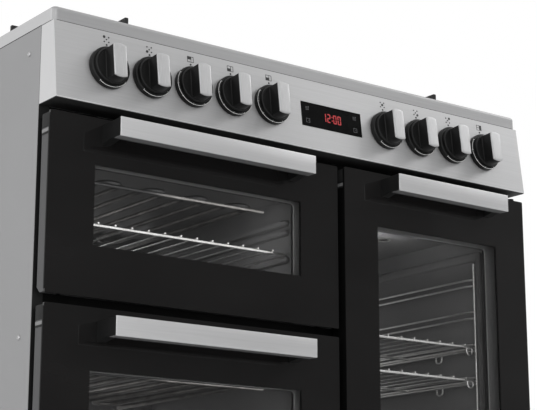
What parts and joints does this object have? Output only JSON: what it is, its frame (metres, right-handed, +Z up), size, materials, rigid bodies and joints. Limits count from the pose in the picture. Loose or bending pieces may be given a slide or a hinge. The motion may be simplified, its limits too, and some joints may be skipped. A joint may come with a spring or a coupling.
{
  "type": "range cooker",
  "caption": "Free-standing stainless range cooker with a gas hob, slanted knob panel with a clock, and three glass-door ovens, two drop-down and one side-hinged.",
  "frame": {"origin": "floor level under the middle of the cooker's box", "axes": "+X to the right seen from the front, +Y to the back, +Z up; the doors face -Y"},
  "size_m": [0.9, 0.652, 0.926],
  "materials": {
    "stainless": "fine horizontal brushing",
    "side_grey": "satin silver grey paint",
    "zinc_sheet": "galvanised sheet",
    "door_metal": "grey paint",
    "black_rubber": "matte",
    "oven_enamel": "glossy dark enamel",
    "chrome_wire": "plated wire",
    "dark_steel": "heat darkened",
    "burner_alloy": "cast",
    "black_enamel": "matte enamel",
    "cast_iron": "matte enamelled cast iron",
    "clock_black": "polished",
    "brass": "plain",
    "switch_plastic": "moulded",
    "knob_black": "moulded, satin",
    "knob_silver": "satin",
    "black_glass": "toughened, black printed border, tinted window",
    "clear_glass": "toughened",
    "bracket_black": "moulded"
  },
  "bodies": {
    "body": {"side_panels": "side_grey", "rear_panel": "zinc_sheet", "base_pan": "zinc_sheet", "plinth_panel": "side_grey", "levelling_feet": "black_rubber", "front_frame": "zinc_sheet", "door_seals": "black_rubber", "grill_oven_liner": "oven_enamel", "main_oven_liner": "oven_enamel", "tall_oven_liner": "oven_enamel", "oven_shelves": "chrome_wire", "tall_oven_racks": "chrome_wire", "oven_elements": "dark_steel", "fan_motor": "dark_steel", "fan_guard": "dark_steel", "hob_tray": "stainless", "burner_cups": "burner_alloy", "burner_crowns": "burner_alloy", "burner_caps": "black_enamel", "pan_support_left": "cast_iron", "pan_support_centre": "cast_iron", "pan_support_right": "cast_iron", "control_panel": "stainless", "clock_module": "clock_black", "gas_rail": "brass", "oven_switches": "switch_plastic"},
    "fan": {"fan_impeller": "dark_steel"},
    "grill_door": {"grill_door_glass": "black_glass", "grill_door_frame": "door_metal", "grill_door_inner_glass": "clear_glass", "grill_door_handle": "stainless", "grill_door_handle_brackets": "bracket_black"},
    "main_door": {"main_door_glass": "black_glass", "main_door_frame": "door_metal", "main_door_inner_glass": "clear_glass", "main_door_handle": "stainless", "main_door_handle_brackets": "bracket_black"},
    "tall_door": {"tall_door_glass": "black_glass", "tall_door_frame": "door_metal", "tall_door_inner_glass": "clear_glass", "tall_door_handle": "stainless", "tall_door_handle_brackets": "bracket_black"},
    "knob_1": {"knob_1": "knob_black", "knob_face_1": "knob_silver"},
    "knob_2": {"knob_2": "knob_black", "knob_face_2": "knob_silver"},
    "knob_3": {"knob_3": "knob_black", "knob_face_3": "knob_silver"},
    "knob_4": {"knob_4": "knob_black", "knob_face_4": "knob_silver"},
    "knob_5": {"knob_5": "knob_black", "knob_face_5": "knob_silver"},
    "knob_6": {"knob_6": "knob_black", "knob_face_6": "knob_silver"},
    "knob_7": {"knob_7": "knob_black", "knob_face_7": "knob_silver"},
    "knob_8": {"knob_8": "knob_black", "knob_face_8": "knob_silver"},
    "knob_9": {"knob_9": "knob_black", "knob_face_9": "knob_silver"}
  },
  "joints": [
    {"name": "grill_door_hinge", "type": "hinge", "parent": "body", "child": "grill_door", "pos_m": [-0.19825, -0.262, 0.506], "axis": [1, 0, 0], "range_deg": [0, 90], "stiffness_Nm_per_rad": 1, "springref_deg": -57.3},
    {"name": "main_door_hinge", "type": "hinge", "parent": "body", "child": "main_door", "pos_m": [-0.19825, -0.262, 0.122], "axis": [1, 0, 0], "range_deg": [0, 90], "stiffness_Nm_per_rad": 1.6, "springref_deg": -57.3},
    {"name": "tall_door_hinge", "type": "hinge", "parent": "body", "child": "tall_door", "pos_m": [0.44, -0.266, 0.43], "axis": [0, 0, 1], "range_deg": [0, 100]},
    {"name": "fan_spin", "type": "hinge", "parent": "body", "child": "fan", "pos_m": [-0.19825, 0.15, 0.285], "axis": [0, -1, 0], "continuous": true},
    {"name": "knob_1_turn", "type": "hinge", "parent": "body", "child": "knob_1", "pos_m": [-0.366, -0.283, 0.8205], "axis": [0, -0.9927, 0.1208], "range_deg": [0, 210]},
    {"name": "knob_2_turn", "type": "hinge", "parent": "body", "child": "knob_2", "pos_m": [-0.2947, -0.283, 0.8205], "axis": [0, -0.9927, 0.1208], "range_deg": [0, 210]},
    {"name": "knob_3_turn", "type": "hinge", "parent": "body", "child": "knob_3", "pos_m": [-0.2234, -0.283, 0.8205], "axis": [0, -0.9927, 0.1208], "range_deg": [-270, 0]},
    {"name": "knob_4_turn", "type": "hinge", "parent": "body", "child": "knob_4", "pos_m": [-0.1521, -0.283, 0.8205], "axis": [0, -0.9927, 0.1208], "range_deg": [-270, 0]},
    {"name": "knob_5_turn", "type": "hinge", "parent": "body", "child": "knob_5", "pos_m": [-0.0808, -0.283, 0.8205], "axis": [0, -0.9927, 0.1208], "range_deg": [-270, 0]},
    {"name": "knob_6_turn", "type": "hinge", "parent": "body", "child": "knob_6", "pos_m": [0.1465, -0.283, 0.8205], "axis": [0, -0.9927, 0.1208], "range_deg": [0, 210]},
    {"name": "knob_7_turn", "type": "hinge", "parent": "body", "child": "knob_7", "pos_m": [0.2178, -0.283, 0.8205], "axis": [0, -0.9927, 0.1208], "range_deg": [0, 210]},
    {"name": "knob_8_turn", "type": "hinge", "parent": "body", "child": "knob_8", "pos_m": [0.2891, -0.283, 0.8205], "axis": [0, -0.9927, 0.1208], "range_deg": [0, 210]},
    {"name": "knob_9_turn", "type": "hinge", "parent": "body", "child": "knob_9", "pos_m": [0.3604, -0.283, 0.8205], "axis": [0, -0.9927, 0.1208], "range_deg": [-270, 0]}
  ]
}
